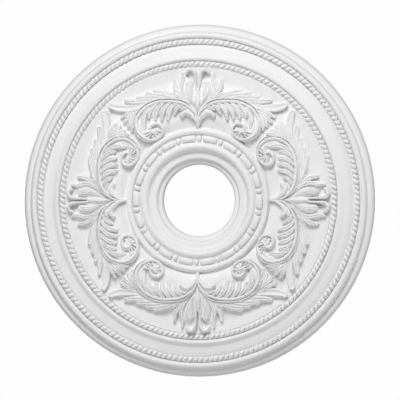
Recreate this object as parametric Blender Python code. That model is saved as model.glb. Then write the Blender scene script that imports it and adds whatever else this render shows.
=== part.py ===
"""Ceiling rose: a turned disc with two rope mouldings, a ring of beads and four acanthus sprays.

The rose stands upright with its back on the plane y = 0 and its ornament toward -Y.
The origin is on the back, at the centre of the hole.
Lengths along the rose's radius are given in parts, and 176 parts make its radius. Heights are
given in rises, and 20.2 rises make its projection.
"""

import math

import bpy
import numpy as np

# Driving sizes, in metres
OUTER_DIAMETER = 0.610
PROJECTION = 0.0445
PARTS_IN_RADIUS = 176.0
RISES_IN_PROJECTION = 20.2
PART = OUTER_DIAMETER / 2 / PARTS_IN_RADIUS
RISE = PROJECTION / RISES_IN_PROJECTION

# The hole and the back, in parts, and the depth of the recess in rises
HOLE_RADIUS = 35.8
RECESS_FROM = 45.0
RECESS_TO = 160.0
RECESS_DEPTH = 1.5
RECESS_SLOPE = 2.0

# Rope mouldings: radius of the crest, half width, height, number of strands and lean of a strand
INNER_STRANDS = 165
OUTER_STRANDS = 192
INNER_ROPE = (136.4, 2.9, 2.4, INNER_STRANDS, 0.75)
OUTER_ROPE = (158.8, 3.1, 2.4, OUTER_STRANDS, 0.75)

# How far a strand rounds off along the rope, and how high the valley between two strands stays
STRAND_ROUNDING = 0.85
STRAND_VALLEY = 0.35

# Ring of long and short beads
BEAD_RADIUS = 61.9
BEAD_HALF_WIDTH = 3.3
BEAD_HEIGHT = 3.0
BEAD_PAIRS = 18
LONG_BEAD_HALF = 7.4
SHORT_BEAD_HALF = 2.4

# Points in a ring: plain rings near the hole, plain rings near the rim, and rings across the carving
INNER_POINTS = 56
OUTER_POINTS = 84
BEAD_POINTS = 576
FIELD_POINTS = 1152
TRIANGLES = 10000

# Rings from the hole to the rim: shape of the moulding, radius and height where it ends,
# how many rings draw it and how many points each has
MOULDINGS = (
    ("round out", 37.2, 5.3, 2, INNER_POINTS),
    ("line", 39.8, 5.7, 1, INNER_POINTS),
    ("line", 42.4, 9.4, 1, INNER_POINTS),
    ("line", 47.8, 9.4, 1, INNER_POINTS),
    ("ogee", 51.6, 14.2, 2, INNER_POINTS),
    ("bead", 56.0, 14.4, 2, INNER_POINTS),
    ("line", 58.6, 12.3, 1, INNER_POINTS),
    ("line", 65.4, 12.0, 11, BEAD_POINTS),
    ("round out", 69.2, 14.8, 2, INNER_POINTS),
    ("round in", 70.8, 13.9, 1, INNER_POINTS),
    ("line", 72.6, 11.0, 1, INNER_POINTS),
    ("dome", 94.0, 14.2, 25, FIELD_POINTS),
    ("ogee", 127.0, 9.8, 42, FIELD_POINTS),
    ("line", 132.8, 9.8, 7, FIELD_POINTS),
    ("line", 133.5, 9.8, 1, INNER_STRANDS),
    ("rope", 139.3, 10.1, 2, INNER_STRANDS),
    ("round out", 142.0, 12.6, 2, OUTER_POINTS),
    ("ogee", 147.6, 9.6, 3, OUTER_POINTS),
    ("line", 155.7, 8.5, 1, OUTER_STRANDS),
    ("rope", 161.9, 8.5, 2, OUTER_STRANDS),
    ("round out", 164.8, 11.2, 2, OUTER_POINTS),
    ("round in", 169.3, 6.6, 3, OUTER_POINTS),
    ("line", 170.7, 6.3, 1, OUTER_POINTS),
    ("round in", 176.0, 0.8, 3, OUTER_POINTS),
)
HOLE_EDGE_HEIGHT = 4.3
BEAD_SWELL = 0.7

# Four sprays of foliage, each the mirror of itself about its own axis
SPRAYS = 4
BODY_BLEND = 0.8
LEAF_BLEND = 0.3

PRIMER_WHITE = (0.86, 0.86, 0.85, 1.0)
ROSE_ROUGHNESS = 0.62


def clear_scene():
    """Removes every object of the scene."""
    for obj in list(bpy.data.objects):
        bpy.data.objects.remove(obj, do_unlink=True)


def moulding_height(shape, start, end, along):
    """Ground height of a turned moulding at the share `along` of its width."""
    if shape == "ogee":
        return start + (end - start) * along**2 * (3 - 2 * along)
    if shape == "dome":
        return start + (end - start) * math.sin(math.pi / 2 * along)
    if shape == "round out":
        return start + (end - start) * math.sqrt(1 - (1 - along) ** 2)
    if shape == "round in":
        return end + (start - end) * math.sqrt(1 - along**2)
    straight = start + (end - start) * along
    return straight + BEAD_SWELL * math.sin(math.pi * along) if shape == "bead" else straight


def ring_share(shape, share):
    """Where a ring lies across its moulding, closer together where the moulding is steep."""
    if shape == "round out":
        return 1 - math.cos(math.pi / 2 * share)
    if shape == "round in":
        return math.sin(math.pi / 2 * share)
    return share


def front_rings():
    """Radius, ground height, point count and carved mark of each ring from the hole to the rim."""
    radius, height = HOLE_RADIUS, HOLE_EDGE_HEIGHT
    rings = [(radius, height, INNER_POINTS, False)]
    for shape, end_radius, end_height, count, points in MOULDINGS:
        for k in range(1, count + 1):
            along = ring_share(shape, k / count)
            doubled = 2 if shape == "rope" and k < count else 1
            ring_height = moulding_height(shape, height, end_height, along)
            ring_radius = radius + (end_radius - radius) * along
            carved = points in (BEAD_POINTS, FIELD_POINTS)
            rings.append((ring_radius, ring_height, points * doubled, carved))
        radius, height = end_radius, end_height
    return rings


def back_rings():
    """The same for the back, from the rim to the hole, with a shallow recess."""
    return [
        (PARTS_IN_RADIUS, 0.0, OUTER_POINTS, False),
        (RECESS_TO, 0.0, OUTER_POINTS, False),
        (RECESS_TO - RECESS_SLOPE, RECESS_DEPTH, OUTER_POINTS, False),
        (RECESS_FROM + RECESS_SLOPE, RECESS_DEPTH, INNER_POINTS, False),
        (RECESS_FROM, 0.0, INNER_POINTS, False),
        (HOLE_RADIUS, 0.0, INNER_POINTS, False),
    ]


def rope(radius, angle, crest, half_width, height, strands, lean):
    """Height that a twisted rope adds to its channel."""
    across = np.clip((radius - crest) / half_width, -1, 1)
    turn = (angle * strands / math.tau + lean * across) % 1 - 0.5
    strand = np.sqrt(1 - STRAND_ROUNDING * (2 * turn) ** 2)
    return height * np.sqrt(1 - across**2) * (STRAND_VALLEY + (1 - STRAND_VALLEY) * strand)


def beads(radius, angle):
    """Height of the long and short beads that take turns round the collar."""
    pitch = math.tau / BEAD_PAIRS
    from_long = np.abs((angle + pitch / 2) % pitch - pitch / 2) * BEAD_RADIUS
    from_short = pitch / 2 * BEAD_RADIUS - from_long
    across = (radius - BEAD_RADIUS) / BEAD_HALF_WIDTH
    tallest = 0
    for distance, half in ((from_long, LONG_BEAD_HALF), (from_short, SHORT_BEAD_HALF)):
        end = np.clip((distance - half) / BEAD_HALF_WIDTH + 1, 0, None)
        tallest = np.maximum(tallest, np.sqrt(np.clip(1 - end**2 - across**2, 0, 1)))
    return BEAD_HEIGHT * tallest


def smooth_path(points, count):
    """A curve through points given as degrees from the spray's axis and radius in parts."""
    degrees, radius = np.array(points, float).T
    flat = np.stack((radius * np.sin(np.radians(degrees)), radius * np.cos(np.radians(degrees))), 1)
    ends = np.vstack((2 * flat[0] - flat[1], flat, 2 * flat[-1] - flat[-2]))
    place = np.linspace(0, len(flat) - 1, count)
    left = np.minimum(place.astype(int), len(flat) - 2)
    t = (place - left)[:, None]
    a, b, c, d = (ends[left + k] for k in range(4))
    return (2 * b + (c - a) * t + (2 * a - 5 * b + 4 * c - d) * t**2 + (3 * b - a - 3 * c + d) * t**3) / 2


def section(kind, across):
    """Height across a leaf, 1 at its crest and 0 at its edges."""
    if kind == "veined":
        return (1 - across**2) ** 0.55 * (1 - 0.3 * np.exp(-((across / 0.22) ** 2)))
    if kind == "scooped":
        return (1 - across**4) ** 0.6 * (0.62 + 0.38 * np.minimum(1.3 * across**2, 1))
    return (1 - across**2) ** 0.8


def leaf(kind, points, widths, heights):
    """One leaf or stem: its section, its path, and its half widths and heights along the path."""
    return kind, points, widths, heights


def lobe(kind, base, tip, half_width, height):
    """A lobe that leaves its stem, swells, turns over and ends round."""
    bend = (base[0] + 0.62 * (tip[0] - base[0]), base[1] + 0.42 * (tip[1] - base[1]))
    widths = (0.55 * half_width, 0.9 * half_width, half_width, 0.6 * half_width)
    return leaf(kind, (base, bend, tip), widths, (0.8 * height, height, height, 0.75 * height))


def fan(kind, count, base, tip, half_width, height):
    """Lobes side by side: base and tip each hold the first and the last point of the row."""
    lobes = []
    for share in np.linspace(0, 1, count):
        start = tuple(np.add(base[0], share * np.subtract(base[1], base[0])))
        end = tuple(np.add(tip[0], share * np.subtract(tip[1], tip[0])))
        lobes.append(lobe(kind, start, end, half_width, height))
    return lobes


def spray_bodies():
    """Low swellings under the leaves, so that no ground shows between two lobes."""
    return (
        leaf("plain", ((0, 86), (8, 99), (23, 108), (41, 124)), (1, 4.2, 5, 3), (1.2, 2.2, 2.2, 1.2)),
        leaf("plain", ((5, 93), (19, 100), (33, 98)), (2, 5.6, 5), (1.6, 2.4, 1.8)),
        leaf("plain", ((0, 90), (1.5, 104), (6.5, 123)), (1.5, 8, 6), (1.6, 2.4, 1.6)),
        leaf("plain", ((32, 107), (42, 106)), (3, 7), (1.8, 1.4)),
        leaf("plain", ((34, 104), (38, 96), (37, 82)), (3, 4.2, 3), (2, 2.4, 2)),
    )


def frond():
    """The side leaf that grows from the stem, sweeps out and rises to a point."""
    lobes = fan("veined", 6, ((5.4, 94.6), (25, 105)), ((10.4, 91.2), (31, 94.5)), 2.7, 3.9)
    lobes += fan("veined", 5, ((9, 101.5), (27, 109)), ((22.6, 117.6), (37.8, 125.2)), 2.5, 3.5)
    lobes += fan("veined", 5, ((32.5, 107), (32.5, 107.5)), ((42.8, 97.5), (40.6, 116)), 1.9, 3.3)
    lobes += fan("veined", 2, ((31, 104), (30, 103)), ((37, 91.5), (33.4, 93.5)), 2.2, 3.9)
    end = leaf(
        "scooped", ((27, 108.5), (38.2, 117.5), (41.9, 130.2)), (1.5, 3.6, 0.8), (3.2, 4.4, 1.8)
    )
    midrib = leaf(
        "plain",
        ((0.4, 73), (0.7, 80), (1.8, 87), (9.4, 98.6), (20, 105), (36, 107)),
        (1.2, 1.3, 1.5, 1.5, 1.3, 0.8),
        (4.2, 4.6, 5, 5, 4.6, 3.6),
    )
    return (*lobes, end, midrib)


def scroll():
    """The band that leaves the frond near the diagonal and rolls up beside the collar."""
    turn = ((29, 106.2), (34, 105.2), (38.6, 101), (41.4, 94), (42, 86), (40.4, 79), (36.8, 74.4))
    roll = ((32.2, 73.2), (27.8, 75.4), (25.7, 80.4), (27, 85.8), (30.6, 88.3), (34.2, 87))
    eye = ((36, 83.4), (34.4, 79.9), (31.6, 79.8))
    return (leaf("plain", turn + roll + eye, (1, 2.3, 2.4, 2, 1.5, 1.7), (3.8, 4.9, 5.4, 4.8, 5.2)),)


def palmette():
    """Upright lobes on the spray's axis under a pair of curled heads."""
    rim = ((1, 90), (5, 99), (7.6, 107), (7.4, 114), (4, 118.5), (1.8, 118))
    return (
        lobe("veined", (8.5, 101.5), (16, 112.5), 1.9, 3),
        lobe("scooped", (4, 97), (12.3, 121.5), 2.3, 3.4),
        lobe("scooped", (3.2, 96), (9, 126.5), 2.3, 4),
        lobe("scooped", (2.6, 95), (5.2, 124.5), 2.4, 4),
        leaf("plain", rim, (0.9, 1.3, 1.3, 1), (3.4, 4.6, 4.8, 4.2)),
        leaf("plain", ((0, 88), (0, 103), (0, 118)), (0.9, 2.2, 2), (3.4, 4.2, 5.2)),
        leaf("plain", ((0.9, 114), (1.6, 122), (2.2, 129)), (1.6, 2.3, 3), (4.6, 4.8, 5.2)),
        leaf("plain", ((1.6, 129), (3.9, 132.4), (5.9, 129.6)), (2.2, 3, 1.5), (5.4, 6.4, 4.6)),
    )


def hooked_leaf():
    """The small leaf that leaves the foot of the stem and turns down over the collar."""
    path = ((0.9, 74), (2.2, 81.5), (5, 87), (8.4, 88.6), (11.2, 86))
    return (leaf("plain", path, (1.1, 1.6, 2.3, 2.9, 2.3), (4.2, 4.8, 5.6, 6, 4.6)),)


def drilled_eyes():
    """Hollows between the lobes of the palmette and under its curled heads."""
    return (
        leaf("plain", ((3.6, 101), (4.3, 107), (3.9, 112.5)), (0.5, 1.5, 1.1), (1, 2.6, 2)),
        leaf("plain", ((3.4, 127.6), (4.6, 127.9)), (1.5, 1.3), (3, 2.6)),
        leaf("plain", ((0, 117.5), (0, 124), (0, 134)), (0.5, 0.8, 0.8), (0.6, 2.2, 2.6)),
    )


def leaf_height(x, y, kind, points, widths, heights):
    """Indices of the points a leaf covers, and the leaf's height at each."""
    line = smooth_path(points, 12 * len(points))
    low, high = line.min(0) - max(widths), line.max(0) + max(widths)
    near = ((x > low[0]) & (x < high[0]) & (y > low[1]) & (y < high[1])).nonzero()[0]
    start, step = line[:-1], np.diff(line, axis=0)
    to_point = np.stack((x[near], y[near]), 1)[:, None] - start
    share = np.clip((to_point * step).sum(2) / (step**2).sum(1), 0, 1)
    away = np.hypot(*(to_point - share[..., None] * step).transpose(2, 0, 1))
    nearest = away.argmin(1)
    rows = np.arange(len(near))
    length = np.hypot(*step.T)
    travelled = np.cumsum(length) - length
    along = (travelled[nearest] + share[rows, nearest] * length[nearest]) / length.sum()
    half = np.interp(along, np.linspace(0, 1, len(widths)), widths)
    tall = np.interp(along, np.linspace(0, 1, len(heights)), heights)
    across = np.clip(away[rows, nearest] / half, 0, 1)
    return near, tall * section(kind, across)


def blend(first, second, width):
    """The higher of two heights, rounded where they meet."""
    share = np.clip(0.5 + (first - second) / (2 * width), 0, 1)
    return second + share * (first - second) + width * share * (1 - share)


def foliage(radius, angle):
    """Height that the four sprays add to the ground."""
    quarter = math.tau / SPRAYS
    folded = np.abs((angle + quarter / 2) % quarter - quarter / 2)
    x, y = radius * np.sin(folded), radius * np.cos(folded)
    total = np.zeros_like(radius)
    for leaves, width in (
        (spray_bodies(), BODY_BLEND),
        ((*palmette(), *frond(), *scroll(), *hooked_leaf()), LEAF_BLEND),
    ):
        for parts_of_leaf in leaves:
            near, height = leaf_height(x, y, *parts_of_leaf)
            raised = np.maximum(blend(total[near], height, width), total[near])
            total[near] = np.where(height > 0, raised, total[near])
    for parts_of_leaf in drilled_eyes():
        near, depth = leaf_height(x, y, *parts_of_leaf)
        total[near] = np.maximum(total[near] - depth, 0)
    return total


def ornament(radius, angle):
    """Height of all carved ornament above the turned profile, in rises."""
    ropes = rope(radius, angle, *INNER_ROPE) + rope(radius, angle, *OUTER_ROPE)
    return np.maximum(ropes + beads(radius, angle), foliage(radius, angle))


def ring_points(rings):
    """Radius, angle and height of every point of the rings, with the ornament on the front."""
    counts = [ring[2] for ring in rings]
    radius = np.repeat([ring[0] for ring in rings], counts)
    height = np.repeat([ring[1] for ring in rings], counts)
    angle = np.concatenate([np.arange(count) / count for count in counts]) * math.tau
    worked = np.repeat([count not in (INNER_POINTS, OUTER_POINTS) for count in counts], counts)
    height[worked] += ornament(radius[worked], angle[worked])
    return radius, angle, height


def skin(first, second, first_count, second_count):
    """Triangles between two closed rings whose points start at the indices `first` and `second`."""
    step = np.arange(first_count)
    nearest = np.floor((step + 0.5) / first_count * second_count + 0.5 + 1e-6).astype(int)
    forward = np.stack(
        (first + step, second + nearest % second_count, first + (step + 1) % first_count), 1
    )
    step = np.arange(second_count)
    nearest = np.ceil((step + 0.5) / second_count * first_count - 0.5 - 1e-6).astype(int)
    backward = np.stack(
        (first + nearest % first_count, second + step, second + (step + 1) % second_count), 1
    )
    return np.concatenate((forward, backward))


def carved_disc(collection):
    """The whole rose as one closed skin over its rings.

    The rings are skinned here because each has its own number of points, one to a strand on the
    ropes and many on the carving, and a Screw gives every ring the same number.
    """
    rings = front_rings() + back_rings()
    radius, angle, height = ring_points(rings)
    flat = radius * PART
    points = np.stack((flat * np.cos(angle), -height * RISE, flat * np.sin(angle)), 1)
    counts = [ring[2] for ring in rings]
    starts = np.cumsum([0, *counts[:-1]])
    following = list(range(1, len(rings))) + [0]
    faces = [skin(starts[k], starts[n], counts[k], counts[n]) for k, n in enumerate(following)]
    mesh = bpy.data.meshes.new("ceiling_rose")
    mesh.from_pydata(points, [], np.concatenate(faces))
    disc = bpy.data.objects.new("ceiling_rose", mesh)
    collection.objects.link(disc)
    carved = disc.vertex_groups.new(name="carved")
    marks = np.repeat([ring[3] for ring in rings], counts).nonzero()[0]
    carved.add(marks.tolist(), 1.0, "REPLACE")
    return disc


def thin_out(disc):
    """Drops points between the carved rings where the carving is plain, and leaves the other rings."""
    decimate = disc.modifiers.new("thin_out", "DECIMATE")
    decimate.ratio = TRIANGLES / len(disc.data.polygons)
    decimate.use_collapse_triangulate = True
    decimate.vertex_group = "carved"
    decimate.vertex_group_factor = 1.0


def paint(disc):
    """One white primed finish over the whole rose."""
    material = bpy.data.materials.new("white_primed_polyurethane")
    material.use_nodes = True
    shader = material.node_tree.nodes["Principled BSDF"]
    shader.inputs["Base Color"].default_value = PRIMER_WHITE
    shader.inputs["Roughness"].default_value = ROSE_ROUGHNESS
    material.diffuse_color = PRIMER_WHITE
    disc.data.materials.clear()
    disc.data.materials.append(material)


def main():
    """Builds the rose in a collection of its own."""
    clear_scene()
    bpy.context.scene.unit_settings.scale_length = 1.0
    collection = bpy.data.collections.new("ceiling_rose")
    bpy.context.scene.collection.children.link(collection)
    disc = carved_disc(collection)
    thin_out(disc)
    paint(disc)


main()
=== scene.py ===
"""Looks of a moulded ceiling rose: its fine relief, its white primed finish, and a plain studio.

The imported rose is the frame. One piece with the same rings and sprays, drawn finer, replaces it.
The rose stands upright, with its back on the plane y = 0 and its ornament toward -Y.
Lengths along its radius are given in parts, and 176 parts make the radius. Heights are given in
rises, and 20.2 rises make the projection.
"""

import logging
import math
from dataclasses import dataclass
from enum import Enum

import bpy
import numpy as np
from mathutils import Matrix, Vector


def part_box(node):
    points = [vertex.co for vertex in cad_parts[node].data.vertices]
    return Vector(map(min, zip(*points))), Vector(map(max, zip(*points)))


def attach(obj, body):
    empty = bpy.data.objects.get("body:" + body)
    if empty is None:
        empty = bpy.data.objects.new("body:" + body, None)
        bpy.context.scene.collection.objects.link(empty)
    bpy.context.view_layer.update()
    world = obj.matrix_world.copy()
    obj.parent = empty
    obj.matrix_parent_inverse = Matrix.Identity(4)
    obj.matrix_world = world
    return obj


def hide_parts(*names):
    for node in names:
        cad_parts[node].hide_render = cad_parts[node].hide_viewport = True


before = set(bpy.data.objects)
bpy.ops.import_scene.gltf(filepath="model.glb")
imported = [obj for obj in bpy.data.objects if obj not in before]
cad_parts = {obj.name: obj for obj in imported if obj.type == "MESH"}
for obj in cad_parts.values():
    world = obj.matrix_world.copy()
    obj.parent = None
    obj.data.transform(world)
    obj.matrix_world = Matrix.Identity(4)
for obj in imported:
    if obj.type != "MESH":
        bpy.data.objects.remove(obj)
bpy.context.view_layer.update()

LOG = logging.getLogger("ceiling_rose")
Array = np.ndarray
Point = tuple[float, float]

MM = 0.001
PARTS_IN_RADIUS = 176.0
ROSE_LOW, ROSE_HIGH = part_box("ceiling_rose")
PART = (ROSE_HIGH[0] - ROSE_LOW[0]) / 2 / PARTS_IN_RADIUS
PROJECTION = 0.0445
RISES_IN_PROJECTION = 20.2
RISE = PROJECTION / RISES_IN_PROJECTION


class Shape(Enum):
    """Outline of one turned moulding."""

    LINE = "straight"
    OGEE = "s-curve"
    ROUND_OUT = "quarter round that bulges"
    ROUND_IN = "quarter round that falls away"
    ROLL = "low roll on a slope"
    DOME = "slope that eases to a crest"


class Section(Enum):
    """Form of a leaf from edge to edge."""

    PLAIN = "rounded"
    VEINED = "rounded with a sunk vein"
    SCOOPED = "hollow between raised edges"
    RIBBED = "rounded with fine ribs along it"


@dataclass(frozen=True)
class Moulding:
    """One turned moulding: where it ends, and how finely it is drawn."""

    shape: Shape
    radius: float
    height: float
    rings: int
    points: int
    carved: bool = False


@dataclass(frozen=True)
class Ring:
    """One circle of mesh points before the ornament is raised on it."""

    radius: float
    ground: float
    points: int
    carved: bool


@dataclass(frozen=True)
class Rope:
    """A rope moulding: strands that lean across a half-round astragal."""

    crest: float
    half_width: float
    height: float
    strands: int
    lean: float = 0.32
    flat: float = 0.98
    valley: float = 0.06
    waist: float = 0.84

    def height_at(self, radius: Array, angle: Array) -> Array:
        """Height of the rope above its channel.

        Formula: a half circle across the rope, times a half circle along it for each strand. The
        strand's place turns with the distance from the crest, which makes the strands lean, and
        the rope narrows to its waist between two strands.

        Args:
            radius: Distance of each point from the centre, in parts.
            angle: Direction of each point, in radians.

        Returns:
            The height of each point, in rises.
        """
        across = (radius - self.crest) / self.half_width
        turn = (angle * self.strands / math.tau + self.lean * across) % 1 - 0.5
        strand = np.sqrt(1 - self.flat * (2 * turn) ** 2)
        across = np.clip(across / (self.waist + (1 - self.waist) * strand), -1, 1)
        return self.height * np.sqrt(1 - across**2) * (self.valley + (1 - self.valley) * strand)


@dataclass(frozen=True)
class BeadRing:
    """Long and short beads that take turns round the collar."""

    crest: float = 61.9
    half_width: float = 3.3
    height: float = 3.0
    pairs: int = 18
    long_half: float = 7.4
    short_half: float = 2.4
    end_round: float = 1.8
    turn: float = -1.4

    def height_at(self, radius: Array, angle: Array) -> Array:
        """Height of the beads above their channel.

        Formula: each bead is half a cylinder whose ends are rounded off.

        Args:
            radius: Distance of each point from the centre, in parts.
            angle: Direction of each point, in radians.

        Returns:
            The height of each point, in rises.
        """
        pitch = math.tau / self.pairs
        turned = angle - math.radians(self.turn)
        from_long = np.abs((turned + pitch / 2) % pitch - pitch / 2) * self.crest
        from_short = pitch / 2 * self.crest - from_long
        across = (radius - self.crest) / self.half_width
        tallest = np.zeros_like(radius)
        for distance, half in ((from_long, self.long_half), (from_short, self.short_half)):
            end = np.clip((distance - half) / self.end_round + 1, 0, None)
            tallest = np.maximum(tallest, np.sqrt(np.clip(1 - end**2 - across**2, 0, 1)))
        return self.height * tallest


@dataclass(frozen=True)
class Leaf:
    """A leaf, stem or lobe: a path, with half widths in parts and heights in rises along it.

    The path's points are degrees from the spray's axis and radius.
    """

    section: Section
    path: tuple[Point, ...]
    half_widths: tuple[float, ...]
    heights: tuple[float, ...]

    def line(self) -> Array:
        """Points of the smooth path.

        Formula: a Catmull-Rom curve through the path's points, laid out flat.

        Returns:
            The points, one row each.
        """
        degrees, radius = np.array(self.path, float).T
        flat = np.stack((np.sin(np.radians(degrees)), np.cos(np.radians(degrees))), 1) * radius[:, None]
        ends = np.vstack((2 * flat[0] - flat[1], flat, 2 * flat[-1] - flat[-2]))
        place = np.linspace(0, len(flat) - 1, 12 * len(flat))
        left = np.minimum(place.astype(int), len(flat) - 2)
        t = (place - left)[:, None]
        a, b, c, d = (ends[left + k] for k in range(4))
        bend = (2 * a - 5 * b + 4 * c - d) * t**2 + (3 * b - a - 3 * c + d) * t**3
        return (2 * b + (c - a) * t + bend) / 2

    def profile(self, across: Array) -> Array:
        """Height across the leaf, 1 at its crest and 0 at its edges.

        Formula: powers of 1 - across squared, less a bell for a vein or a hollow for a scoop.

        Args:
            across: Signed distance from the path, 1 at either edge.

        Returns:
            The share of the leaf's height at each point.
        """
        square = across**2
        if self.section is Section.VEINED:
            return (1 - square) ** 0.5 * (1 - 0.3 * np.exp(-square / 0.05))
        if self.section is Section.SCOOPED:
            return (1 - square**2) ** 0.6 * (0.55 + 0.45 * np.minimum(1.3 * square, 1))
        if self.section is Section.RIBBED:
            return (1 - square) ** 0.5 * (0.9 + 0.1 * np.cos(5 * math.pi * across))
        return (1 - square) ** 0.7

    def over(self, x: Array, y: Array) -> tuple[Array, Array]:
        """The points that the leaf covers, and its height there.

        Formula: each point's nearest place on the path gives its share of the length and its
        distance across, and the height is the section's share of the height there.

        Args:
            x: Distance of each point from the spray's axis.
            y: Distance of each point along the spray's axis.

        Returns:
            Indices of the points near the leaf, and the leaf's height at each.
        """
        line = self.line()
        margin = max(self.half_widths)
        low, high = line.min(0) - margin, line.max(0) + margin
        near = ((x > low[0]) & (x < high[0]) & (y > low[1]) & (y < high[1])).nonzero()[0]
        start, step = line[:-1], np.diff(line, axis=0)
        to_point = np.stack((x[near], y[near]), 1)[:, None] - start
        share = np.clip((to_point * step).sum(2) / (step**2).sum(1), 0, 1)
        offset = to_point - share[..., None] * step
        away = np.hypot(offset[..., 0], offset[..., 1])
        nearest = away.argmin(1)
        rows = np.arange(len(near))
        side = step[nearest, 0] * to_point[rows, nearest, 1] - step[nearest, 1] * to_point[rows, nearest, 0]
        length = np.hypot(step[:, 0], step[:, 1])
        travelled = np.cumsum(length) - length
        along = (travelled[nearest] + share[rows, nearest] * length[nearest]) / length.sum()
        half = np.interp(along, np.linspace(0, 1, len(self.half_widths)), self.half_widths)
        tall = np.interp(along, np.linspace(0, 1, len(self.heights)), self.heights)
        across = np.clip(away[rows, nearest] / half, 0, 1) * np.where(side < 0, -1, 1)
        return near, tall * self.profile(across)


def lobe(section: Section, base: Point, tip: Point, half_width: float, height: float) -> Leaf:
    """A lobe that leaves its stem, swells, turns over and ends round.

    Args:
        section: Form of the lobe from edge to edge.
        base: Where it leaves the stem, as degrees and radius.
        tip: Where it ends.
        half_width: Its half width where it is broadest, in parts.
        height: Its height, in rises.

    Returns:
        The lobe as a leaf of three points.
    """
    bend = (base[0] + 0.62 * (tip[0] - base[0]), base[1] + 0.42 * (tip[1] - base[1]))
    widths = (0.55 * half_width, 0.9 * half_width, half_width, 0.6 * half_width)
    return Leaf(section, (base, bend, tip), widths, (0.8 * height, height, height, 0.75 * height))


@dataclass(frozen=True)
class Spray:
    """One of the four acanthus sprays, the mirror of itself about its own axis."""

    count: int = 4
    body_blend: float = 0.8
    leaf_blend: float = 0.2

    def bodies(self) -> list[Leaf]:
        """Low swellings under the leaves, so that no ground shows between two lobes."""
        plain = Section.PLAIN
        return [
            Leaf(
                plain, ((0, 86), (8, 99), (20, 109), (32, 114), (41, 124)),
                (1, 4.2, 6, 5.6, 3), (1.2, 2.6, 1.8),
            ),
            Leaf(plain, ((6, 95), (14, 96), (22, 97.5), (30, 100)), (2, 5, 6.4, 5), (1.6, 2.4, 2.2)),
            Leaf(plain, ((3, 89.5), (9, 93)), (2, 2.6), (3, 3.2)),
            Leaf(plain, ((0, 91), (3, 106), (6.5, 118)), (1.8, 8, 7), (1.6, 3, 2.4)),
            Leaf(plain, ((33, 108), (40.5, 104)), (3, 7), (2.4, 2)),
            Leaf(plain, ((32, 101), (38, 94), (39, 82)), (3, 4.6, 3.6), (2.2, 3, 3)),
            Leaf(plain, ((31.4, 83), (32, 79)), (7.4, 7.4), (3.4, 3.4)),
        ]

    def stem(self) -> list[Leaf]:
        """The stem that splits and the band that leaves it, arches over and rolls up by the collar."""
        rise = ((0.3, 73), (0.5, 80), (1.5, 86.5), (5.7, 94.2), (10.3, 99.2), (16.5, 103.2), (22, 105.8))
        turn = ((27.5, 106.6), (32.5, 105.2), (37, 101.2), (40.1, 95), (41.4, 87.5), (40, 80), (36.6, 75))
        roll = ((32.4, 73.6), (28, 75.6), (26, 80.4), (27.2, 85.4), (30.6, 87.4), (33.6, 85.6), (34.2, 82.4))
        band = Leaf(
            Section.PLAIN, rise + turn + roll, (1.3, 1.5, 2.1, 2.1, 2.2, 2.2, 1.8, 1.7, 1.3),
            (4.2, 4.8, 4.8, 4.8, 5, 5.4, 5.2, 5.2, 5.2),
        )
        edge = ((1.6, 88), (5.6, 97), (9.9, 102), (16.7, 106), (22, 108.6), (27.6, 109.4), (33, 107.9))
        fall = ((37.8, 103.2), (41.4, 96.2), (43, 87.6), (41.2, 78.6))
        rib = Leaf(Section.PLAIN, edge + fall, (0.8, 1.0, 0.9, 0.7), (4.4, 5.4, 5.2, 4.6))
        return [band, rib, Leaf(Section.PLAIN, ((34.4, 82.6), (32.6, 79.4)), (1.4, 2), (5, 4.8))]

    def outer_lobes(self) -> list[Leaf]:
        """Long lobes that sweep along the outside of the band and turn their tips up."""
        lobes = (
            (((8.5, 102), (10.8, 105.5), (12.8, 109.5)), (1, 2.0, 1.6)),
            (((10, 102.6), (14, 107.6), (18, 112.4), (21.6, 116.6)), (1.2, 2.8, 3.4, 2.8)),
            (((14.5, 105), (18.3, 109), (22.2, 113.4), (25.8, 117.6)), (1.2, 2.6, 3.2, 2.4)),
            (((19, 107), (22.8, 110.4), (26.8, 114.4), (30.4, 118.6)), (1.2, 2.6, 3.2, 2.4)),
            (((23.5, 108.5), (28.2, 112), (32.6, 116.6), (36.2, 122.6)), (1.2, 2.6, 3.4, 2.4)),
        )
        leaves = [Leaf(Section.VEINED, path, widths, (3, 4.6, 5.4, 5)) for path, widths in lobes]
        end_path = ((24.5, 108.2), (30, 109.4), (34.6, 112), (39.0, 118), (41.7, 124.2), (42.7, 128.2))
        end = Leaf(Section.SCOOPED, end_path, (1, 2, 3, 3.9, 4, 3), (3, 4.2, 5.2, 6, 6.2, 5.6))
        return [*leaves, end]

    def inner_lobes(self) -> list[Leaf]:
        """Lobes that hang from the band towards the collar, the last beside the rolled end."""
        lobes = (
            ((5.8, 93.2), (10.6, 91.8), 2.0),
            ((8.8, 96.4), (15, 89.2), 2.4),
            ((12, 99.4), (20.1, 86.6), 2.9),
            ((15.4, 101.7), (23.8, 89), 2.9),
            ((18.9, 103.6), (27.2, 92.4), 2.9),
            ((22.8, 104.8), (30.6, 96), 2.7),
            ((27.8, 104.8), (36.4, 90), 3.0),
        )
        return [lobe(Section.VEINED, base, tip, half, 5.2) for base, tip, half in lobes]

    def fan(self) -> list[Leaf]:
        """Short lobes that spread from the band to the diagonal between two sprays."""
        lobes = (
            ((35, 111), (42.8, 112.8), 2.6),
            ((35.4, 108), (43.4, 107), 3.0),
            ((36.4, 105), (43.2, 101.2), 3.0),
            ((38.4, 102), (43.2, 95.8), 2.4),
        )
        return [lobe(Section.VEINED, base, tip, half, 5.4) for base, tip, half in lobes]

    def petals(self) -> list[Leaf]:
        """Small ribs round the eye of the rolled end."""
        middle = (31.4, 81.4)
        tips = ((27.4, 77.7), (30.2, 75.9), (33.2, 75.8), (36, 77), (38.4, 79.4), (39.2, 82.6), (38.8, 86))
        return [Leaf(Section.PLAIN, (middle, tip), (0.7, 1.2, 1.3), (4.2, 4.8, 4.6)) for tip in tips]

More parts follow.
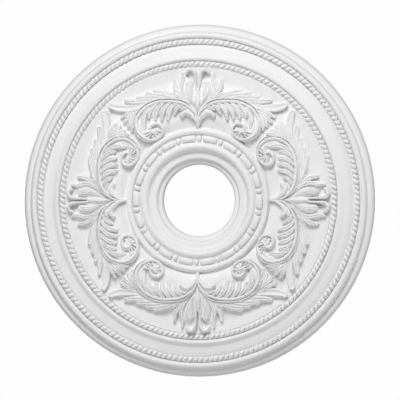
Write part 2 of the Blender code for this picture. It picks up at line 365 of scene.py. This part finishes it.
    def palmette(self) -> list[Leaf]:
        """A bulb on the spray's axis, a spoon and two flames beside it, and a curled head over it."""
        head = ((0.8, 111), (1.0, 119), (1.2, 126), (2.5, 130.2), (4.2, 129.8), (5.1, 127.4))
        spoon = ((2.2, 96), (4.0, 104), (4.6, 111), (4.0, 116.6))
        flame = ((4.6, 97), (7.7, 105.5), (8.5, 113.5), (7.2, 121), (7.1, 127.6))
        outer_flame = ((6.4, 99.5), (9.1, 106.5), (11.2, 114), (11.2, 122))
        return [
            Leaf(Section.PLAIN, ((0, 88), (0, 99), (0, 110)), (1.2, 4.2, 2.4), (3.6, 5.6, 5)),
            Leaf(Section.RIBBED, spoon, (1.2, 3.2, 4.8, 4.6), (3.4, 4.8, 6.0, 6.2)),
            Leaf(Section.VEINED, flame, (1.2, 2, 2.7, 2.5, 1.2), (3.2, 4.4, 5.2, 5.2, 4.2)),
            Leaf(Section.VEINED, outer_flame, (1.2, 2.4, 3.1, 1.7), (3.2, 4.4, 5.2, 4.4)),
            Leaf(Section.PLAIN, head, (1.4, 1.6, 1.8, 2.2, 2.1, 1.6), (5, 5.6, 6.2, 7, 6.6, 5.4)),
        ]

    def hooked_leaf(self) -> list[Leaf]:
        """The small leaf that leaves the foot of the stem and turns down over the collar."""
        path = ((0.4, 75), (1.5, 80), (4.6, 86.2), (7.8, 88.4), (10.6, 86.2))
        return [Leaf(Section.PLAIN, path, (1.1, 1.8, 3, 3.5, 2.6), (4.2, 5.2, 6, 6.2, 5.4))]

    def eyes(self) -> list[Leaf]:
        """Hollows over the bulb, over the spoon, under the curled head and in the rolled end."""
        plain = Section.PLAIN
        return [
            Leaf(plain, ((0, 113), (0, 122), (0, 134)), (0.5, 0.7, 0.7), (1.2, 2.2, 2.4)),
            Leaf(plain, ((2.8, 125.2), (4, 125.6)), (1.4, 1.2), (3.2, 2.8)),
            Leaf(plain, ((29.2, 83.4), (30.4, 84.8), (32, 84.2)), (1.1, 1.3, 1.1), (2.2, 2.6, 2)),
            Leaf(plain, ((34.2, 79.8), (35, 79.4)), (1.0, 1.0), (1.8, 1.6)),
        ]

    def height_at(self, radius: Array, angle: Array) -> Array:
        """Height of the sprays above the ground.

        Formula: every point is folded into half a spray, the leaves are raised one after another,
        each blended into what it meets, and the eyes are sunk last.

        Args:
            radius: Distance of each point from the centre, in parts.
            angle: Direction of each point, in radians.

        Returns:
            The height of each point, in rises.
        """
        sector = math.tau / self.count
        folded = np.abs((angle + sector / 2) % sector - sector / 2)
        x, y = radius * np.sin(folded), radius * np.cos(folded)
        total = np.zeros_like(radius)
        leaves = [
            *self.palmette(), *self.outer_lobes(), *self.inner_lobes(), *self.fan(), *self.petals(),
            *self.stem(), *self.hooked_leaf(),
        ]
        for layer, width in ((self.bodies(), self.body_blend), (leaves, self.leaf_blend)):
            for leaf in layer:
                near, height = leaf.over(x, y)
                share = np.clip(0.5 + (total[near] - height) / (2 * width), 0, 1)
                blended = height + share * (total[near] - height) + width * share * (1 - share)
                total[near] = np.where(height > 0, np.maximum(blended, total[near]), total[near])
        for eye in self.eyes():
            near, depth = eye.over(x, y)
            total[near] = np.maximum(total[near] - depth, 0)
        return total


@dataclass(frozen=True)
class PrimedPolyurethane:
    """Moulded high-density polyurethane foam under a white factory primer.

    The eye sees an even, neutral white with a dull sheen, and a skin so fine that the
    primer's grain only shows close to.
    """

    colour: str = "F2F2F2"
    shade: str = "EDEDED"
    roughness: float = 0.55
    ior: float = 1.46
    mottle_mm: float = 26.0
    grain_mm: float = 0.9
    grain_depth_mm: float = 0.05

    def material(self) -> bpy.types.Material:
        """The finish as a material.

        Returns:
            A material whose colour and grain are worked out from the piece's own coordinates.
        """
        made = bpy.data.materials.new("white_primed_moulded_polyurethane")
        made.use_nodes = True
        tree = made.node_tree
        shader = tree.nodes["Principled BSDF"]
        shader.inputs["Roughness"].default_value = self.roughness
        shader.inputs["IOR"].default_value = self.ior
        place = add_node(tree, "ShaderNodeTexCoord").outputs["Object"]
        mottle = add_node(
            tree, "ShaderNodeTexNoise", Vector=place, Scale=1 / (self.mottle_mm * MM), Detail=3.0
        )
        tone = add_node(tree, "ShaderNodeMix", data_type="RGBA", Factor=mottle.outputs["Fac"])
        tone.inputs["A"].default_value = linear(self.shade)
        tone.inputs["B"].default_value = linear(self.colour)
        tree.links.new(tone.outputs["Result"], shader.inputs["Base Color"])
        grain = add_node(
            tree, "ShaderNodeTexNoise", Vector=place, Scale=1 / (self.grain_mm * MM), Detail=2.0
        )
        bump = add_node(
            tree, "ShaderNodeBump", Height=grain.outputs["Fac"], Distance=self.grain_depth_mm * MM
        )
        tree.links.new(bump.outputs["Normal"], shader.inputs["Normal"])
        return made


def linear(colour: str) -> tuple[float, float, float, float]:
    """Turns an sRGB hex colour to linear.

    Args:
        colour: Six hex digits.

    Returns:
        The colour in linear light, with full opacity.
    """
    parts = [int(colour[k : k + 2], 16) / 255 for k in (0, 2, 4)]
    red, green, blue = (p / 12.92 if p <= 0.04045 else ((p + 0.055) / 1.055) ** 2.4 for p in parts)
    return red, green, blue, 1.0


def add_node(tree: bpy.types.NodeTree, kind: str, **settings: object) -> bpy.types.Node:
    """Adds a node with its settings and links.

    Args:
        tree: The tree it goes into.
        kind: The node's type.
        settings: Its properties by name, and its inputs by name: a value, or a socket to link.

    Returns:
        The new node.
    """
    node = tree.nodes.new(kind)
    for name, value in settings.items():
        if hasattr(node, name):
            setattr(node, name, value)
        elif isinstance(value, bpy.types.NodeSocket):
            tree.links.new(value, node.inputs[name])
        else:
            node.inputs[name].default_value = value
    return node


@dataclass(frozen=True)
class CeilingRose:
    """The whole rose as one closed skin over its rings."""

    hole_radius: float = 35.8
    hole_edge: float = 2.2
    recess_from: float = 45.0
    recess_to: float = 160.0
    recess_depth: float = 1.5
    recess_slope: float = 2.0
    roll_swell: float = 0.7
    inner_points: int = 240
    outer_points: int = 320
    bead_points: int = 1152
    field_points: int = 1536
    strand_points: int = 7
    triangles: int = 194000
    inner_rope: Rope = Rope(136.3, 2.9, 3.8, 165)
    outer_rope: Rope = Rope(158.7, 3.1, 3.8, 192)
    beads: BeadRing = BeadRing()
    spray: Spray = Spray()
    finish: PrimedPolyurethane = PrimedPolyurethane()

    def mouldings(self) -> tuple[Moulding, ...]:
        """The turned mouldings from the hole to the rim."""
        inner, outer, field = self.inner_points, self.outer_points, self.field_points
        inner_rope = self.strand_points * self.inner_rope.strands
        outer_rope = self.strand_points * self.outer_rope.strands
        line, ogee = Shape.LINE, Shape.OGEE
        return (
            Moulding(Shape.ROUND_OUT, 38.6, 5.5, 6, inner),
            Moulding(line, 39.9, 5.6, 1, inner),
            Moulding(ogee, 42.3, 9.4, 7, inner),
            Moulding(line, 48.2, 9.4, 2, inner),
            Moulding(ogee, 51.8, 14.2, 8, inner),
            Moulding(Shape.ROLL, 56.0, 14.4, 6, inner),
            Moulding(ogee, 58.4, 12.0, 4, inner),
            Moulding(line, 65.4, 11.8, 16, self.bead_points, carved=True),
            Moulding(Shape.ROUND_OUT, 69.2, 14.8, 6, inner),
            Moulding(Shape.ROUND_IN, 70.8, 13.9, 2, inner),
            Moulding(ogee, 72.6, 10.8, 5, field, carved=True),
            Moulding(Shape.DOME, 85.0, 13.6, 27, field, carved=True),
            Moulding(line, 94.0, 14.2, 19, field, carved=True),
            Moulding(ogee, 122.0, 9.6, 62, field, carved=True),
            Moulding(line, 132.8, 10.5, 24, field, carved=True),
            Moulding(ogee, 133.9, 8.9, 2, field, carved=True),
            Moulding(line, 139.4, 9.2, 9, inner_rope),
            Moulding(Shape.ROUND_OUT, 142.0, 12.6, 5, outer),
            Moulding(ogee, 147.6, 9.6, 8, outer),
            Moulding(line, 155.2, 8.6, 3, outer),
            Moulding(ogee, 156.2, 7.7, 2, outer),
            Moulding(line, 162.0, 7.7, 9, outer_rope),
            Moulding(Shape.ROUND_OUT, 164.8, 11.2, 5, outer),
            Moulding(Shape.ROUND_IN, 169.2, 6.4, 7, outer),
            Moulding(line, 170.6, 6.3, 2, outer),
            Moulding(Shape.ROUND_IN, 176.0, 0.8, 8, outer),
        )

    def moulding_height(self, shape: Shape, start: float, end: float, along: float) -> float:
        """Ground height of one moulding.

        Formula: a line, a cubic s-curve, a quarter sine or a quarter circle between the two ends.

        Args:
            shape: The moulding's outline.
            start: Height at its inner edge.
            end: Height at its outer edge.
            along: Share of its width.

        Returns:
            The height there, in rises.
        """
        if shape is Shape.OGEE:
            return start + (end - start) * along**2 * (3 - 2 * along)
        if shape is Shape.DOME:
            return start + (end - start) * math.sin(math.pi / 2 * along)
        if shape is Shape.ROUND_OUT:
            return start + (end - start) * math.sqrt(1 - (1 - along) ** 2)
        if shape is Shape.ROUND_IN:
            return end + (start - end) * math.sqrt(1 - along**2)
        straight = start + (end - start) * along
        if shape is Shape.ROLL:
            return straight + self.roll_swell * math.sin(math.pi * along)
        return straight

    def rings(self) -> list[Ring]:
        """Every ring from the hole over the front to the rim and back over the back."""
        radius, height = self.hole_radius, self.hole_edge
        rings = [Ring(radius, height, self.inner_points, False)]
        for moulding in self.mouldings():
            for k in range(1, moulding.rings + 1):
                along = k / moulding.rings
                if moulding.shape is Shape.ROUND_OUT:
                    along = 1 - math.cos(math.pi / 2 * along)
                elif moulding.shape is Shape.ROUND_IN:
                    along = math.sin(math.pi / 2 * along)
                ground = self.moulding_height(moulding.shape, height, moulding.height, along)
                place = radius + (moulding.radius - radius) * along
                rings.append(Ring(place, ground, moulding.points, moulding.carved))
            radius, height = moulding.radius, moulding.height
        back = (
            (PARTS_IN_RADIUS, 0.0, self.outer_points),
            (self.recess_to, 0.0, self.outer_points),
            (self.recess_to - self.recess_slope, self.recess_depth, self.outer_points),
            (self.recess_from + self.recess_slope, self.recess_depth, self.inner_points),
            (self.recess_from, 0.0, self.inner_points),
            (self.hole_radius, 0.0, self.inner_points),
        )
        return rings + [Ring(*ring, False) for ring in back]

    def ornament(self, radius: Array, angle: Array) -> Array:
        """Height of the ropes, beads and sprays above the turned ground.

        Formula: the higher of the turned ornaments and the sprays at each point.

        Args:
            radius: Distance of each point from the centre, in parts.
            angle: Direction of each point, in radians.

        Returns:
            The height of each point, in rises.
        """
        turned = self.inner_rope.height_at(radius, angle) + self.outer_rope.height_at(radius, angle)
        return np.maximum(turned + self.beads.height_at(radius, angle), self.spray.height_at(radius, angle))

    def skin(self, first: int, second: int, first_count: int, second_count: int) -> Array:
        """Triangles between two closed rings that may differ in their number of points.

        Formula: each step along one ring makes a triangle with the point of the other ring that is
        nearest to the middle of the step.

        Args:
            first: Index of the first point of the first ring.
            second: Index of the first point of the second ring.
            first_count: Number of points in the first ring.
            second_count: Number of points in the second ring.

        Returns:
            One row of three indices for each triangle.
        """
        step = np.arange(first_count)
        nearest = np.floor((step + 0.5) / first_count * second_count + 0.5 + 1e-6).astype(int)
        forward = np.stack(
            (first + step, second + nearest % second_count, first + (step + 1) % first_count), 1
        )
        step = np.arange(second_count)
        nearest = np.ceil((step + 0.5) / second_count * first_count - 0.5 - 1e-6).astype(int)
        backward = np.stack(
            (first + nearest % first_count, second + step, second + (step + 1) % second_count), 1
        )
        return np.concatenate((forward, backward))

    def surface(self) -> bpy.types.Object:
        """The skin at full fineness, before plain parts of the carving are thinned.

        Formula: a point's angle is its share of its ring, its height is the ring's ground plus the
        ornament, and both turn to x, y and z with the back on y = 0.

        Returns:
            The object, with a vertex group that marks the carved rings.
        """
        rings = self.rings()
        counts = [ring.points for ring in rings]
        radius = np.repeat([ring.radius for ring in rings], counts)
        height = np.repeat([ring.ground for ring in rings], counts)
        angle = np.concatenate([np.arange(count) / count for count in counts]) * math.tau
        plain = (self.inner_points, self.outer_points)
        worked = np.repeat([count not in plain for count in counts], counts)
        height[worked] += self.ornament(radius[worked], angle[worked])
        x, z = radius * PART * np.cos(angle), radius * PART * np.sin(angle)
        points = np.stack((x, -height * RISE, z), 1)
        starts = np.cumsum([0, *counts[:-1]])
        following = [*range(1, len(rings)), 0]
        faces = [self.skin(starts[k], starts[n], counts[k], counts[n]) for k, n in enumerate(following)]
        mesh = bpy.data.meshes.new("fine_rose")
        mesh.from_pydata(points, [], np.concatenate(faces))
        made = bpy.data.objects.new("fine_rose", mesh)
        bpy.context.scene.collection.objects.link(made)
        carved = made.vertex_groups.new(name="carved")
        marks = np.repeat([ring.carved for ring in rings], counts).nonzero()[0]
        carved.add(marks.tolist(), 1.0, "REPLACE")
        return made

    def build(self) -> bpy.types.Object:
        """Makes the fine rose, thins its plain parts and gives it its finish.

        Returns:
            The finished piece.
        """
        made = self.surface()
        thin = made.modifiers.new("thin_out", "DECIMATE")
        thin.ratio = self.triangles / len(made.data.polygons)
        thin.vertex_group = "carved"
        graph = bpy.context.evaluated_depsgraph_get()
        mesh = bpy.data.meshes.new_from_object(made.evaluated_get(graph))
        made.modifiers.clear()
        made.vertex_groups.clear()
        made.data = mesh
        mesh.shade_smooth()
        mesh.set_sharp_from_angle(angle=math.radians(50))
        mesh.materials.clear()
        mesh.materials.append(self.finish.material())
        LOG.info("fine_rose: %d triangles", len(mesh.polygons))
        return made


@dataclass(frozen=True)
class Lamp:
    """A large soft light that faces the rose."""

    name: str
    azimuth: float
    elevation: float
    distance: float
    size: float
    watts: float

    def build(self) -> None:
        """Hangs the light at its bearing round the rose and above the plane of its face."""
        data = bpy.data.lights.new(self.name, "AREA")
        data.shape = "DISK"
        data.size = self.size
        data.energy = self.watts
        bearing, lift = math.radians(self.azimuth), math.radians(self.elevation)
        flat = math.cos(lift)
        way = Vector((flat * math.cos(bearing), -math.sin(lift), flat * math.sin(bearing)))
        lamp = bpy.data.objects.new(self.name, data)
        lamp.location = way * self.distance
        lamp.rotation_euler = way.to_track_quat("Z", "Y").to_euler()
        bpy.context.scene.collection.objects.link(lamp)


@dataclass(frozen=True)
class Studio:
    """A pale floor, soft lights and the camera."""

    floor_drop: float = 0.75
    floor_radius: float = 1.2
    floor_colour: str = "F2F2F2"
    backdrop: float = 0.985
    skylight: float = 0.06
    field_width: float = 0.6932
    camera_distance: float = 12.0
    camera_turn: float = 6.0
    camera_rise: float = -1.3
    sensor: float = 36.0
    centre_x: float = 0.0008
    centre_z: float = 0.0010
    lamps: tuple[Lamp, ...] = (
        Lamp("key_above", 94.0, 50.0, 3.0, 1.2, 67.0),
        Lamp("fill_left", 198.0, 44.0, 3.0, 1.6, 17.0),
        Lamp("low_right_below", 333.0, 12.0, 3.0, 1.2, 24.0),
        Lamp("low_right_above", 32.0, 12.0, 3.0, 1.2, 11.0),
    )

    def world(self) -> None:
        """White behind the rose, and an even skylight of its own strength on it."""
        world = bpy.data.worlds.new("studio")
        world.use_nodes = True
        tree = world.node_tree
        seen = add_node(tree, "ShaderNodeBackground", Strength=self.backdrop)
        seen.inputs["Color"].default_value = (1.0, 1.0, 1.0, 1.0)
        sky = tree.nodes["Background"]
        sky.inputs["Color"].default_value = (1.0, 1.0, 1.0, 1.0)
        sky.inputs["Strength"].default_value = self.skylight
        path = add_node(tree, "ShaderNodeLightPath")
        mix = add_node(tree, "ShaderNodeMixShader")
        tree.links.new(path.outputs["Is Camera Ray"], mix.inputs[0])
        tree.links.new(sky.outputs[0], mix.inputs[1])
        tree.links.new(seen.outputs[0], mix.inputs[2])
        tree.links.new(mix.outputs[0], tree.nodes["World Output"].inputs["Surface"])
        bpy.context.scene.world = world

    def floor(self) -> None:
        """A round pale floor below the rose."""
        bpy.ops.mesh.primitive_circle_add(
            vertices=96, radius=self.floor_radius, fill_type="NGON", location=(0, 0, -self.floor_drop)
        )
        floor = bpy.context.object
        floor.name = "studio_floor"
        paper = bpy.data.materials.new("matt_paper_floor")
        paper.use_nodes = True
        shader = paper.node_tree.nodes["Principled BSDF"]
        shader.inputs["Base Color"].default_value = linear(self.floor_colour)
        shader.inputs["Roughness"].default_value = 0.9
        floor.data.materials.append(paper)

    def camera(self) -> None:
        """A long lens a little to the right of the rose's axis and a little below it."""
        data = bpy.data.cameras.new("camera")
        data.sensor_width = self.sensor
        data.lens = self.sensor * self.camera_distance / self.field_width
        camera = bpy.data.objects.new("camera", data)
        turn, rise = math.radians(self.camera_turn), math.radians(self.camera_rise)
        flat = math.cos(rise)
        way = Vector((flat * math.sin(turn), -flat * math.cos(turn), math.sin(rise)))
        camera.location = way * self.camera_distance + Vector((self.centre_x, 0, self.centre_z))
        camera.rotation_euler = way.to_track_quat("Z", "Y").to_euler()
        bpy.context.scene.collection.objects.link(camera)
        bpy.context.scene.camera = camera

    def build(self) -> None:
        """Sets up the floor, the lights, the camera and the way light turns to picture."""
        self.world()
        self.floor()
        for lamp in self.lamps:
            lamp.build()
        self.camera()
        bpy.context.scene.view_settings.view_transform = "Standard"
        LOG.info("studio: %d lamps", len(self.lamps))


def main() -> None:
    """Builds the rose and the studio in order."""
    logging.basicConfig(level=logging.INFO, format="%(name)s: %(message)s")
    rose = CeilingRose().build()
    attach(rose, "root")
    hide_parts("ceiling_rose")
    Studio().build()


if __name__ == "__main__":
    main()
